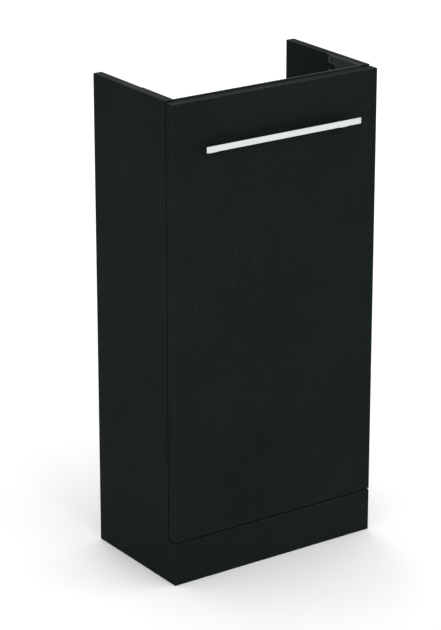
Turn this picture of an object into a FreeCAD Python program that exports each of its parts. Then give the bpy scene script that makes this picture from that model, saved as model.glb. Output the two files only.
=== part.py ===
"""Slim floor-standing wash-stand cabinet: two side panels, one full-width door and an open top.

Frame: +X to the right, +Y to the back, +Z up, millimetres. The origin is on the floor, half way across the
cabinet and half way between the front of the door pull and the back edges of the side panels.
"""
import FreeCAD, Part
import os
import Sketcher

DIMENSIONS = {
    # The cabinet and its boards
    "cabinet_width": 400.0,
    "cabinet_height": 820.0,
    "side_depth": 208.0,
    "board_thickness": 16.0,
    "door_thickness": 18.0,
    "door_gap": 2.5,
    "door_top_drop": 2.2,
    "door_bottom_gap": 2.2,
    "plinth_height": 74.0,
    "plinth_lap": 8.0,
    "upper_rail_drop": 100.0,
    "rail_height": 80.0,
    "wall_hole_spacing": 280.0,
    "wall_hole_radius": 3.25,
    # The loose shelf and its pins
    "shelf_underside": 400.0,
    "shelf_side_gap": 0.5,
    "shelf_front_setback": 10.0,
    "shelf_rear_setback": 10.0,
    "shelf_pin_radius": 2.5,
    "shelf_pin_depth": 9.0,
    "shelf_pin_reach": 8.0,
    "shelf_pin_blade": 1.6,
    "shelf_hole_pitch": 32.0,
    "hole_line_inset": 37.0,
    # The knock-down fittings that hold the boards together
    "cam_radius": 7.4,
    "cam_height": 12.0,
    "cam_inset": 24.0,
    "cam_socket_overrun": 1.0,
    "bolt_radius": 3.0,
    "bolt_thread_radius": 2.4,
    "bolt_depth": 11.0,
    "dowel_radius": 4.0,
    "dowel_length": 30.0,
    "dowel_depth": 10.0,
    "dowel_offset": 26.0,
    "plinth_dowel_inset": 20.0,
    # The pull
    "handle_length": 302.0,
    "handle_height": 10.0,
    "handle_projection": 23.1,
    "handle_drop": 70.0,
    "handle_lip": 3.0,
    "handle_web": 1.2,
    "handle_web_inset": 20.0,
    "handle_boss_width": 16.0,
    "handle_boss_height": 6.0,
    "handle_boss_depth": 8.0,
    "handle_boss_floor": 2.0,
    "handle_screw_spacing": 256.0,
    "handle_screw_radius": 1.5,
    # The bent steel strap between the side panels
    "strap_thickness": 1.5,
    "strap_height": 35.0,
    "strap_setback": 1.5,
    "ear_length": 87.0,
    "upper_tab_height": 14.0,
    "notch_height": 10.0,
    "notch_depth": 20.0,
    "ear_hole_inset": 7.4,
    "ear_hole_drop": 7.0,
    "ear_hole_rise": 5.5,
    # The two concealed hinges
    "hinge_inset": 100.0,
    "cup_radius": 17.5,
    "cup_wall": 0.9,
    "cup_depth": 14.0,
    "cup_edge": 3.0,
    "cup_plate_thickness": 1.2,
    "cup_plate_height": 58.0,
    "cup_plate_reach": 6.5,
    "cup_plate_margin": 3.4,
    "cup_screw_spacing": 48.0,
    "cup_screw_setback": 5.5,
    "pivot_edge": 7.2,
    "pivot_setback": 10.8,
    "hinge_pin_radius": 1.2,
    "hinge_pin_end_gap": 0.1,
    "knuckle_radius": 2.0,
    "neck_width": 11.0,
    "arm_thickness": 2.0,
    "arm_clear": 5.0,
    "arm_flange": 1.5,
    "arm_flange_depth": 2.7,
    "arm_length": 48.0,
    "plate_base": 2.0,
    "plate_length": 39.0,
    "plate_height": 52.0,
    "plate_rib_width": 12.0,
    "plate_screw_spacing": 32.0,
    # Small screws, pads and clearances
    "screw_radius": 1.9,
    "screw_length": 12.0,
    "screw_head_radius": 3.4,
    "screw_head_height": 1.8,
    "screw_recess_radius": 1.2,
    "screw_recess_depth": 1.0,
    "screw_tip_gap": 1.0,
    "bumper_radius": 4.0,
    "bumper_inset": 14.0,
    "free_gap": 0.3,
    "fit_gap": 0.05,
}

# The two hands of the cabinet: the sign of X on each
SIDES = {"left": -1, "right": 1}
# Rows of shelf-pin holes, counted from the row that the shelf stands on
SHELF_ROWS = range(-2, 3)
# The board face that a cam lock is let in from
UNDERSIDE = "underside"
INSIDE_FACE = "inside face"

document = FreeCAD.newDocument("WashStand")
sheet = document.addObject("Spreadsheet::Sheet", "Dimensions")
finished = []


class Size:
    """A length that knows its value and the sheet expression it comes from."""

    def __init__(self, text, value):
        self.text = text
        self.value = value

    def __add__(self, other):
        other = as_size(other)
        return Size(f"({self.text} + {other.text})", self.value + other.value)

    def __sub__(self, other):
        other = as_size(other)
        return Size(f"({self.text} - {other.text})", self.value - other.value)

    def __mul__(self, factor):
        return Size(f"({self.text} * {factor})", self.value * factor)

    def __rmul__(self, factor):
        return self * factor

    def __truediv__(self, divisor):
        return Size(f"({self.text} / {divisor})", self.value / divisor)

    def __neg__(self):
        return self * -1


def as_size(value):
    """Turn a plain number into a Size; a Size stays as it is."""
    return value if isinstance(value, Size) else Size(f"({value})", float(value))


def half_chord(radius, offset):
    """Half the chord of a circle whose centre is offset from the chord."""
    return Size(f"sqrt({radius.text}^2 - {offset.text}^2)", (radius.value**2 - offset.value**2) ** 0.5)


def fill_sheet():
    """Write the driving dimensions into the sheet, one aliased cell each."""
    for row, (alias, value) in enumerate(DIMENSIONS.items(), start=1):
        sheet.set(f"A{row}", alias)
        sheet.set(f"B{row}", str(value))
        sheet.setAlias(f"B{row}", alias)
    document.recompute()


def dim(alias):
    """The named driving dimension as a Size."""
    return Size(f"Dimensions.{alias}", DIMENSIONS[alias])


def place(item, corner, rotation=None):
    """Bind an object's position to expressions and turn it if asked."""
    if rotation is not None:
        item.Placement = FreeCAD.Placement(FreeCAD.Vector(), rotation)
    for letter, size in zip("xyz", corner):
        item.setExpression(f"Placement.Base.{letter}", as_size(size).text)


def block(name, corner, extent):
    """A box from its low corner and its extent along X, Y and Z."""
    item = document.addObject("Part::Box", name)
    for side, size in zip(("Length", "Width", "Height"), extent):
        item.setExpression(side, as_size(size).text)
    place(item, corner)
    return item


TURNS = {
    "x": FreeCAD.Rotation(FreeCAD.Vector(0, 1, 0), 90),
    "y": FreeCAD.Rotation(FreeCAD.Vector(1, 0, 0), -90),
    "z": FreeCAD.Rotation(),
}


def rod(name, axis, low_end, radius, length):
    """A cylinder that starts at its low end and runs along one axis of the frame."""
    item = document.addObject("Part::Cylinder", name)
    item.setExpression("Radius", as_size(radius).text)
    item.setExpression("Height", as_size(length).text)
    place(item, low_end, TURNS[axis])
    return item


def fuse(name, pieces):
    """Join touching or overlapping shapes into one solid."""
    item = document.addObject("Part::MultiFuse", name)
    item.Shapes = pieces
    item.Refine = True
    return item


def cut(name, base, tools):
    """Take the tools away from the base."""
    item = document.addObject("Part::Cut", name)
    item.Base = base
    item.Tool = tools[0] if len(tools) == 1 else fuse(f"{name}_tools", tools)
    return item


def group(name, pieces):
    """Keep equal loose pieces together as separate solids."""
    item = document.addObject("Part::Compound", name)
    item.Links = pieces
    return item


def finish(item, label):
    """Name a finished sub-part and put it on the list of files to write."""
    item.Label = label
    finished.append(item)


def extruded(name, plane, outline, start, length):
    """A PartDesign body: a closed outline of straight edges on an origin plane, padded along its normal.

    start is how far the sketch stands off its plane along the plane's normal.
    """
    body = document.addObject("PartDesign::Body", name)
    sketch = body.newObject("Sketcher::SketchObject", f"{name}_sketch")
    origin_plane = [item for item in body.Origin.OriginFeatures if item.Role == plane][0]
    sketch.AttachmentSupport = [(origin_plane, "")]
    sketch.MapMode = "FlatFace"
    sketch.setExpression("AttachmentOffset.Base.z", as_size(start).text)
    corners = [(as_size(across), as_size(up)) for across, up in outline]
    count = len(corners)
    for index in range(count):
        here = corners[index]
        there = corners[(index + 1) % count]
        segment = Part.LineSegment(
            FreeCAD.Vector(here[0].value, here[1].value, 0),
            FreeCAD.Vector(there[0].value, there[1].value, 0),
        )
        sketch.addGeometry(segment, False)
    for index in range(count):
        sketch.addConstraint(Sketcher.Constraint("Coincident", index, 2, (index + 1) % count, 1))
    for index, (across, up) in enumerate(corners):
        for kind, size in (("DistanceX", across), ("DistanceY", up)):
            number = sketch.addConstraint(Sketcher.Constraint(kind, -1, 1, index, 1, size.value))
            sketch.setExpression(f"Constraints[{number}]", size.text)
    pad = body.newObject("PartDesign::Pad", f"{name}_pad")
    pad.Profile = sketch
    pad.setExpression("Length", as_size(length).text)
    return body


def screw(name, axis, seat, toward, radius, length):
    """A screw whose head stands on the seat point; the shank runs along the axis, toward +1 or -1."""
    head_radius = dim("screw_head_radius")
    head_height = dim("screw_head_height")
    recess_depth = dim("screw_recess_depth")
    along = "xyz".index(axis)

    def shifted(distance):
        point = list(seat)
        point[along] = point[along] + distance
        return point

    shank_low = shifted(0) if toward > 0 else shifted(-length)
    head_low = shifted(-head_height) if toward > 0 else shifted(0)
    recess_low = shifted(-head_height) if toward > 0 else shifted(head_height - recess_depth)
    shank = rod(f"{name}_shank", axis, shank_low, radius, length)
    head = rod(f"{name}_head", axis, head_low, head_radius, head_height)
    recess = rod(f"{name}_recess", axis, recess_low, dim("screw_recess_radius"), recess_depth)
    return cut(name, fuse(f"{name}_blank", [shank, head]), [recess])


fill_sheet()

# Planes that many pieces share
board = dim("board_thickness")
half_width = dim("cabinet_width") / 2
inner_half = half_width - board
height = dim("cabinet_height")
fit_gap = dim("fit_gap")
free_gap = dim("free_gap")
total_depth = dim("handle_projection") + dim("door_thickness") + dim("door_gap") + dim("side_depth")
door_front = dim("handle_projection") - total_depth / 2
door_back = door_front + dim("door_thickness")
side_front = door_back + dim("door_gap")
back = side_front + dim("side_depth")
rail_front = back - board
bottom_under = dim("plinth_height") - dim("plinth_lap")
bottom_top = bottom_under + board
door_low = dim("plinth_height") + dim("door_bottom_gap")
door_high = height - dim("door_top_drop")
upper_rail_top = height - dim("upper_rail_drop")
hinge_heights = {
    "upper": door_high - dim("hinge_inset"),
    "lower": door_low + dim("hinge_inset"),
}


def hole_lines():
    """The two vertical lines of fitting holes, one near each edge of a side panel."""
    return {
        "front": side_front + dim("hole_line_inset"),
        "rear": back - dim("hole_line_inset"),
    }


def board_joints():
    """Where a board's end meets a side panel.

    Each entry is (name, y and z of the cam bolt, axis along which the dowels stand beside it, face the cam
    is let in from).
    """
    lines = hole_lines()
    rail_middle = (back + rail_front) / 2
    return [
        ("bottom_front", lines["front"], bottom_under + board / 2, "y", UNDERSIDE),
        ("bottom_rear", lines["rear"], bottom_under + board / 2, "y", UNDERSIDE),
        ("lower_rail", rail_middle, bottom_top + dim("rail_height") / 2, "z", INSIDE_FACE),
        ("upper_rail", rail_middle, upper_rail_top - dim("rail_height") / 2, "z", INSIDE_FACE),
    ]


def dowel_places(joint):
    """The named dowels of a board joint, as (mark, y, z).

    A standing rail has one above and one below its cam bolt. The bottom panel has one beside each bolt, on
    the side towards its middle.
    """
    name, y, z, direction, _ = joint
    offset = dim("dowel_offset")
    if direction == "z":
        return [("a", y, z + offset), ("b", y, z - offset)]
    if name.endswith("front"):
        return [("a", y + offset, z)]
    return [("a", y - offset, z)]


def end_low(side, reach_out, reach_in):
    """The low X end of a rod that crosses a side panel's inner face.

    reach_out goes into the side panel and reach_in goes into the cabinet.
    """
    if side > 0:
        return inner_half - reach_in
    return -inner_half - reach_out


def make_board_fittings():
    """Cam locks, cam bolts and dowels of the carcass, with one node for each kind."""
    cams = []
    bolts = []
    dowels = []
    inset = dim("cam_inset")
    thread = dim("bolt_depth")
    dowel_in_board = dim("dowel_length") - dim("dowel_depth")
    for joint in board_joints():
        name, y, z, _, face = joint
        for hand, side in SIDES.items():
            key = f"{name}_{hand}"
            disc = cam_disc(f"cam_{key}", side, y, z, face, dim("cam_radius"), dim("cam_height"))
            socket_low = (end_low(side, 0, inset + dim("cam_socket_overrun")), y, z)
            socket = rod(f"cam_{key}_socket", "x", socket_low, dim("bolt_radius") + fit_gap, inset)
            cams.append(cut(f"cam_{key}_cut", disc, [socket]))
            thread_low = (end_low(side, thread, 0), y, z)
            shank_low = (end_low(side, 0, inset - fit_gap), y, z)
            bolt_pieces = [
                rod(f"bolt_{key}_thread", "x", thread_low, dim("bolt_thread_radius"), thread),
                rod(f"bolt_{key}_shank", "x", shank_low, dim("bolt_radius"), inset - fit_gap),
            ]
            bolts.append(fuse(f"bolt_{key}", bolt_pieces))
            low = end_low(side, dim("dowel_depth"), dowel_in_board)
            for mark, dowel_y, dowel_z in dowel_places(joint):
                dowel_low = (low, dowel_y, dowel_z)
                dowel = rod(f"dowel_{key}_{mark}", "x", dowel_low, dim("dowel_radius"), dim("dowel_length"))
                dowels.append(dowel)
    finish(group("cams", cams), "cam_locks")
    finish(group("bolts", bolts), "cam_bolts")
    finish(group("dowels", dowels), "board_dowels")


def cam_disc(name, side, y, z, face, radius, depth):
    """A disc let into a board near one of its ends, flush with the face that it is let in from."""
    x = side * (inner_half - dim("cam_inset"))
    if face == UNDERSIDE:
        return rod(name, "z", (x, y, bottom_under), radius, depth)
    return rod(name, "y", (x, rail_front, z), radius, depth)


def board_end_cuts(names):
    """Bores in the boards between the sides for their cams, bolts and dowels."""
    cuts = []
    cam_radius = dim("cam_radius") + fit_gap
    cam_depth = dim("cam_height") + fit_gap
    bolt_radius = dim("bolt_radius") + fit_gap
    dowel_radius = dim("dowel_radius") + fit_gap
    dowel_depth = dim("dowel_length") - dim("dowel_depth") + fit_gap
    for joint in board_joints():
        name, y, z, _, face = joint
        if name not in names:
            continue
        for hand, side in SIDES.items():
            key = f"{name}_{hand}"
            cuts.append(cam_disc(f"{key}_cam_bore", side, y, z, face, cam_radius, cam_depth))
            bolt_low = (end_low(side, 0, dim("cam_inset")), y, z)
            cuts.append(rod(f"{key}_bolt_bore", "x", bolt_low, bolt_radius, dim("cam_inset")))
            dowel_x = end_low(side, 0, dowel_depth)
            for mark, dowel_y, dowel_z in dowel_places(joint):
                dowel_low = (dowel_x, dowel_y, dowel_z)
                cuts.append(rod(f"{key}_dowel_bore_{mark}", "x", dowel_low, dowel_radius, dowel_depth))
    return cuts


def side_panel_cuts(hand, side):
    """Bores in a side panel's inner face: board fittings, shelf pins, strap screws and hinge screws."""
    cuts = []

    def bore(name, y, z, radius, depth):
        """A blind bore that is wider and deeper than what it holds by the fit."""
        low = (end_low(side, depth + fit_gap, 0), y, z)
        cuts.append(rod(f"{hand}_{name}", "x", low, radius + fit_gap, depth + fit_gap))

    for joint in board_joints():
        name, y, z, _, _ = joint
        bore(f"{name}_thread", y, z, dim("bolt_thread_radius"), dim("bolt_depth"))
        for mark, dowel_y, dowel_z in dowel_places(joint):
            bore(f"{name}_dowel_{mark}", dowel_y, dowel_z, dim("dowel_radius"), dim("dowel_depth"))
    for line, y in hole_lines().items():
        for number, row in enumerate(SHELF_ROWS):
            z = shelf_pin_height() + dim("shelf_hole_pitch") * row
            bore(f"shelf_{line}_{number}", y, z, dim("shelf_pin_radius"), dim("shelf_pin_depth"))
    strap_screw_depth = dim("screw_length") - dim("strap_thickness")
    for level, z in ear_hole_heights().items():
        bore(f"strap_{level}", ear_hole_y(), z, dim("screw_radius"), strap_screw_depth)
    if side > 0:
        for level, z in hinge_heights.items():
            for sign in (-1, 1):
                screw_z = z + dim("plate_screw_spacing") / 2 * sign
                depth = dim("screw_length") - dim("plate_base")
                bore(f"hinge_{level}_{sign + 1}", hole_lines()["front"], screw_z, dim("screw_radius"), depth)
    dowel_depth = dim("dowel_length") - dim("dowel_depth") + fit_gap
    for level, z in plinth_dowel_heights().items():
        low = (side * (half_width - board / 2), door_back, z)
        cuts.append(rod(f"{hand}_plinth_dowel_{level}", "y", low, dim("dowel_radius") + fit_gap, dowel_depth))
    return cuts


def plinth_dowel_heights():
    """The plinth's lower and upper dowel in each side panel."""
    inset = dim("plinth_dowel_inset")
    return {"lower": inset, "upper": dim("plinth_height") - inset}


def shelf_pin_height():
    """The axis of the shelf pins that carry the shelf."""
    return dim("shelf_underside") - free_gap - dim("shelf_pin_blade") / 2


def ear_hole_y():
    """How far back the strap's screw holes stand."""
    return side_front + dim("strap_setback") + dim("ear_length") - dim("ear_hole_inset")


def ear_hole_heights():
    """The strap's upper and lower screw holes, one in each tab of an ear."""
    return {
        "upper": height - dim("ear_hole_drop"),
        "lower": height - dim("strap_height") + dim("ear_hole_rise"),
    }


def make_side_panels():
    """Two boards that stand on the floor; below the door they step forward to meet the plinth board."""
    outline = [
        (door_back, 0),
        (back, 0),
        (back, height),
        (side_front, height),
        (side_front, dim("plinth_height")),
        (door_back, dim("plinth_height")),
    ]
    for hand, side in SIDES.items():
        low = end_low(side, board, 0)
        blank = extruded(f"{hand}_side_blank", "YZ_Plane", outline, low, board)
        finish(cut(f"{hand}_side_cut", blank, side_panel_cuts(hand, side)), f"{hand}_side_panel")


def make_bottom_panel():
    """The floor of the cupboard, between the side panels; its front edge laps the plinth and the door."""
    extent = (inner_half * 2, dim("side_depth"), board)
    blank = block("bottom_blank", (-inner_half, side_front, bottom_under), extent)
    finish(cut("bottom_cut", blank, board_end_cuts(("bottom_front", "bottom_rear"))), "bottom_panel")


def make_back_rails():
    """Two boards on edge that brace the open back; the upper one has the two wall-fixing holes."""
    extent = (inner_half * 2, board, dim("rail_height"))
    lower = block("lower_rail_blank", (-inner_half, rail_front, bottom_top), extent)
    finish(cut("lower_rail_cut", lower, board_end_cuts(("lower_rail",))), "lower_back_rail")
    upper_low = upper_rail_top - dim("rail_height")
    upper = block("upper_rail_blank", (-inner_half, rail_front, upper_low), extent)
    cuts = board_end_cuts(("upper_rail",))
    for hand, side in SIDES.items():
        x = dim("wall_hole_spacing") / 2 * side
        z = upper_low + dim("rail_height") / 2
        cuts.append(rod(f"wall_hole_{hand}", "y", (x, rail_front, z), dim("wall_hole_radius"), board))
    finish(cut("upper_rail_cut", upper, cuts), "upper_back_rail")


def make_plinth():
    """The board under the door, flush with its front, and the dowels that hold it to the side panels."""
    blank = block(
        "plinth_blank",
        (-half_width, door_front, 0),
        (dim("cabinet_width"), dim("door_thickness"), dim("plinth_height")),
    )
    cuts = []
    dowels = []
    radius = dim("dowel_radius")
    depth = dim("dowel_depth")
    for hand, side in SIDES.items():
        x = side * (half_width - board / 2)
        for level, z in plinth_dowel_heights().items():
            key = f"plinth_{hand}_{level}"
            bore_low = (x, door_back - depth - fit_gap, z)
            cuts.append(rod(f"{key}_bore", "y", bore_low, radius + fit_gap, depth + fit_gap))
            dowels.append(rod(f"{key}_dowel", "y", (x, door_back - depth, z), radius, dim("dowel_length")))
    finish(cut("plinth_cut", blank, cuts), "plinth_board")
    finish(group("plinth_dowel_group", dowels), "plinth_dowels")


def make_shelf():
    """A loose shelf on four pins; each pin has a round stem in the side panel and a flat blade."""
    gap = dim("shelf_side_gap")
    y = side_front + dim("shelf_front_setback")
    depth = dim("side_depth") - dim("shelf_front_setback") - dim("shelf_rear_setback")
    extent = ((inner_half - gap) * 2, depth, board)
    finish(block("shelf_board", (-inner_half + gap, y, dim("shelf_underside")), extent), "shelf")
    pins = []
    z = shelf_pin_height()
    stem_radius = dim("shelf_pin_radius")
    stem = dim("shelf_pin_depth")
    reach = dim("shelf_pin_reach")
    blade = dim("shelf_pin_blade")
    blade_width = stem_radius * 4
    for hand, side in SIDES.items():
        for line, pin_y in hole_lines().items():
            key = f"pin_{hand}_{line}"
            stem_low = (end_low(side, stem, 0), pin_y, z)
            blade_low = (end_low(side, 0, reach), pin_y - blade_width / 2, z - blade / 2)
            pin_pieces = [
                rod(f"{key}_stem", "x", stem_low, stem_radius, stem),
                block(f"{key}_blade", blade_low, (reach, blade_width, blade)),
            ]
            pins.append(fuse(key, pin_pieces))
    finish(group("shelf_pin_group", pins), "shelf_pins")


def make_front_rail():
    """A steel strap behind the door's top edge, folded back along both side panels into notched ears."""
    thickness = dim("strap_thickness")
    low = height - dim("strap_height")
    front = side_front + dim("strap_setback")
    rear = front + dim("ear_length")
    outline = [
        (-inner_half, front),
        (inner_half, front),
        (inner_half, rear),
        (inner_half - thickness, rear),
        (inner_half - thickness, front + thickness),
        (-inner_half + thickness, front + thickness),
        (-inner_half + thickness, rear),
        (-inner_half, rear),
    ]
    blank = extruded("strap_blank", "XY_Plane", outline, low, dim("strap_height"))
    notch_radius = dim("notch_height") / 2
    notch_middle = height - dim("upper_tab_height") - notch_radius
    notch_start = rear - dim("notch_depth") + notch_radius
    cuts = []
    screws = []
    hole_radius = dim("screw_radius") + fit_gap
    for hand, side in SIDES.items():
        ear_low = end_low(side, 0, thickness)
        notch_low = (ear_low, notch_start, notch_middle - notch_radius)
        notch_extent = (thickness, dim("notch_depth"), dim("notch_height"))
        cuts.append(block(f"notch_{hand}", notch_low, notch_extent))
        round_low = (ear_low, notch_start, notch_middle)
        cuts.append(rod(f"notch_end_{hand}", "x", round_low, notch_radius, thickness))
        for level, z in ear_hole_heights().items():
            hole_low = (ear_low, ear_hole_y(), z)
            cuts.append(rod(f"ear_hole_{hand}_{level}", "x", hole_low, hole_radius, thickness))
            seat = (side * (inner_half - thickness), ear_hole_y(), z)
            name = f"strap_screw_{hand}_{level}"
            screws.append(screw(name, "x", seat, side, dim("screw_radius"), dim("screw_length")))
    finish(cut("strap_cut", blank, cuts), "front_rail")
    finish(group("strap_screw_group", screws), "front_rail_screws")


def handle_places():
    """The pull's low edge and the heights of its web and of its screws."""
    low = door_high - dim("handle_drop") - dim("handle_height")
    screw_z = low - dim("handle_boss_height") / 2
    return low, screw_z


def make_handle():
    """An L-shaped lip pull: a full-length front lip and a shorter thin web on two fixing bosses."""
    low, screw_z = handle_places()
    lip_front = door_front - dim("handle_projection")
    half_length = dim("handle_length") / 2
    lip = block(
        "handle_lip_blank",
        (-half_length, lip_front, low),
        (dim("handle_length"), dim("handle_lip"), dim("handle_height")),
    )
    web_half = half_length - dim("handle_web_inset")
    web = block(
        "handle_web_blank",
        (-web_half, lip_front, low),
        (web_half * 2, dim("handle_projection"), dim("handle_web")),
    )
    bosses = []
    holes = []
    screws = []
    boss = (dim("handle_boss_width"), dim("handle_boss_depth"), dim("handle_boss_height"))
    thread_depth = dim("handle_boss_depth") - dim("handle_boss_floor")
    screw_length = dim("door_thickness") + thread_depth - dim("screw_tip_gap")
    radius = dim("handle_screw_radius")
    for hand, side in SIDES.items():
        x = dim("handle_screw_spacing") / 2 * side
        boss_low = (x - boss[0] / 2, door_front - boss[1], low - boss[2])
        bosses.append(block(f"handle_boss_{hand}", boss_low, boss))
        thread_low = (x, door_front - thread_depth, screw_z)
        holes.append(rod(f"handle_thread_{hand}", "y", thread_low, radius + fit_gap, thread_depth))
        screws.append(screw(f"handle_screw_{hand}", "y", (x, door_back, screw_z), -1, radius, screw_length))
    blank = fuse("handle_blank", [lip, web] + bosses)
    finish(cut("handle_cut", blank, holes), "door_handle")
    finish(group("handle_screw_group", screws), "handle_screws")


def pivot_place():
    """The vertical hinge axis, inside the door's thickness near its right edge."""
    return half_width - dim("pivot_edge"), door_back - dim("pivot_setback")


def cup_centre_x():
    """How far across the hinge cups stand."""
    return half_width - dim("cup_edge") - dim("cup_radius")


def cup_screw_places(z):
    """The two screws that hold a cup's plate to the door, above and below the cup."""
    x = cup_centre_x() - dim("cup_screw_setback")
    return [(x, z + dim("cup_screw_spacing") / 2 * sign) for sign in (-1, 1)]


def make_door():
    """The slab door with bores for its hinge cups and screws, and its pads."""
    blank = block(
        "door_blank",
        (-half_width, door_front, door_low),
        (dim("cabinet_width"), dim("door_thickness"), door_high - door_low),
    )
    cuts = []
    cup_radius = dim("cup_radius") + fit_gap
    cup_depth = dim("cup_depth") + fit_gap
    screw_radius = dim("screw_radius") + fit_gap
    screw_depth = dim("screw_length") - dim("cup_plate_thickness") + fit_gap
    for level, z in hinge_heights.items():
        cup_low = (cup_centre_x(), door_back - cup_depth, z)
        cuts.append(rod(f"door_cup_{level}", "y", cup_low, cup_radius, cup_depth))
        for number, (x, screw_z) in enumerate(cup_screw_places(z)):
            screw_low = (x, door_back - screw_depth, screw_z)
            cuts.append(rod(f"door_cup_screw_{level}_{number}", "y", screw_low, screw_radius, screw_depth))
    screw_z = handle_places()[1]
    pull_radius = dim("handle_screw_radius") + fit_gap
    for hand, side in SIDES.items():
        pull_low = (dim("handle_screw_spacing") / 2 * side, door_front, screw_z)
        cuts.append(rod(f"door_pull_{hand}", "y", pull_low, pull_radius, dim("door_thickness")))
    finish(cut("door_cut", blank, cuts), "door_panel")
    pads = []
    x = -half_width + board / 2
    thickness = dim("door_gap") - free_gap
    pad_heights = {"top": door_high - dim("bumper_inset"), "bottom": door_low + dim("bumper_inset")}
    for level, z in pad_heights.items():
        pads.append(rod(f"bumper_{level}", "y", (x, door_back, z), dim("bumper_radius"), thickness))
    finish(group("bumper_group", pads), "door_bumpers")


def make_cup(level, z):
    """The steel cup let into the door, its screws, and the pin that runs from wall to wall of it."""
    pivot_x, pivot_y = pivot_place()
    cup_x = cup_centre_x()
    radius = dim("cup_radius")
    wall = dim("cup_wall")
    plate = dim("cup_plate_thickness")
    cup_low = door_back - dim("cup_depth")
    shell = rod(f"{level}_cup_shell", "y", (cup_x, cup_low, z), radius, dim("cup_depth"))
    plate_left = cup_x - dim("cup_screw_setback") - dim("screw_head_radius") - dim("cup_plate_margin")
    plate_right = cup_x + dim("cup_plate_reach")
    ears = block(
        f"{level}_cup_ears",
        (plate_left, door_back, z - dim("cup_plate_height") / 2),
        (plate_right - plate_left, plate, dim("cup_plate_height")),
    )
    hollow_depth = dim("cup_depth") - wall + plate
    pin_radius = dim("hinge_pin_radius")
    bore_low = (pivot_x, pivot_y, z - radius)
    cuts = [
        rod(f"{level}_cup_hollow", "y", (cup_x, cup_low + wall, z), radius - wall, hollow_depth),
        rod(f"{level}_cup_pin_bore", "z", bore_low, pin_radius + fit_gap, radius * 2),
    ]
    screws = []
    for number, (x, screw_z) in enumerate(cup_screw_places(z)):
        hole_low = (x, door_back, screw_z)
        cuts.append(rod(f"{level}_ear_hole_{number}", "y", hole_low, dim("screw_radius") + fit_gap, plate))
        seat = (x, door_back + plate, screw_z)
        name = f"{level}_cup_screw_{number}"
        screws.append(screw(name, "y", seat, -1, dim("screw_radius"), dim("screw_length")))
    cup = cut(f"{level}_cup_cut", fuse(f"{level}_cup_blank", [shell, ears]), cuts)
    finish(cup, f"{level}_hinge_cup")
    pin_half = half_chord(radius, pivot_x - cup_x + pin_radius) - dim("hinge_pin_end_gap")
    pin = rod(f"{level}_pin", "z", (pivot_x, pivot_y, z - pin_half), pin_radius, pin_half * 2)
    return pin, screws


def arm_faces():
    """The hinge arm's outer face, towards the side panel, and its inner face."""
    outer = inner_half - dim("arm_clear")
    return outer, outer - dim("arm_thickness")


def clamp_places():
    """The two clamp screws of a hinge arm, along its length."""
    centre = hole_lines()["front"]
    return [centre + dim("plate_length") / 4 * sign for sign in (-1, 1)]


def make_arm(level, z):
    """The steel arm: a channel over the plate's rib, and a neck that reaches into the cup to its pin."""
    pivot_x, pivot_y = pivot_place()
    arm_face, arm_top = arm_faces()
    arm_front = hole_lines()["front"] - dim("arm_length") / 2
    arm_rear = arm_front + dim("arm_length")
    knuckle_radius = dim("knuckle_radius")
    neck_outline = [
        (arm_top, pivot_y - knuckle_radius),
        (pivot_x, pivot_y - knuckle_radius),
        (pivot_x, pivot_y),
        (arm_face, pivot_y),
        (arm_face, arm_rear),
        (arm_top, arm_rear),
    ]
    neck_width = dim("neck_width")
    neck_low = z - neck_width / 2
    neck = extruded(f"{level}_neck", "XY_Plane", neck_outline, neck_low, neck_width)
    knuckle = rod(f"{level}_knuckle", "z", (pivot_x, pivot_y, neck_low), knuckle_radius, neck_width)
    flange_inner = dim("plate_rib_width") / 2 + free_gap
    flange_outer = flange_inner + dim("arm_flange")
    web = block(
        f"{level}_arm_web",
        (arm_top, arm_front, z - flange_outer),
        (dim("arm_thickness"), dim("arm_length"), flange_outer * 2),
    )
    flange = (dim("arm_flange_depth"), dim("arm_length"), dim("arm_flange"))
    flanges = [
        block(f"{level}_flange_lower", (arm_face, arm_front, z - flange_outer), flange),
        block(f"{level}_flange_upper", (arm_face, arm_front, z + flange_inner), flange),
    ]
    bore_radius = dim("hinge_pin_radius") + fit_gap
    holes = [rod(f"{level}_knuckle_bore", "z", (pivot_x, pivot_y, neck_low), bore_radius, neck_width)]
    hole_radius = dim("screw_radius") + fit_gap
    for number, y in enumerate(clamp_places()):
        hole_low = (arm_top, y, z)
        holes.append(rod(f"{level}_arm_hole_{number}", "x", hole_low, hole_radius, dim("arm_thickness")))
    arm = cut(f"{level}_arm_cut", fuse(f"{level}_arm_blank", [neck, knuckle, web] + flanges), holes)
    finish(arm, f"{level}_hinge_arm")


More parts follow.
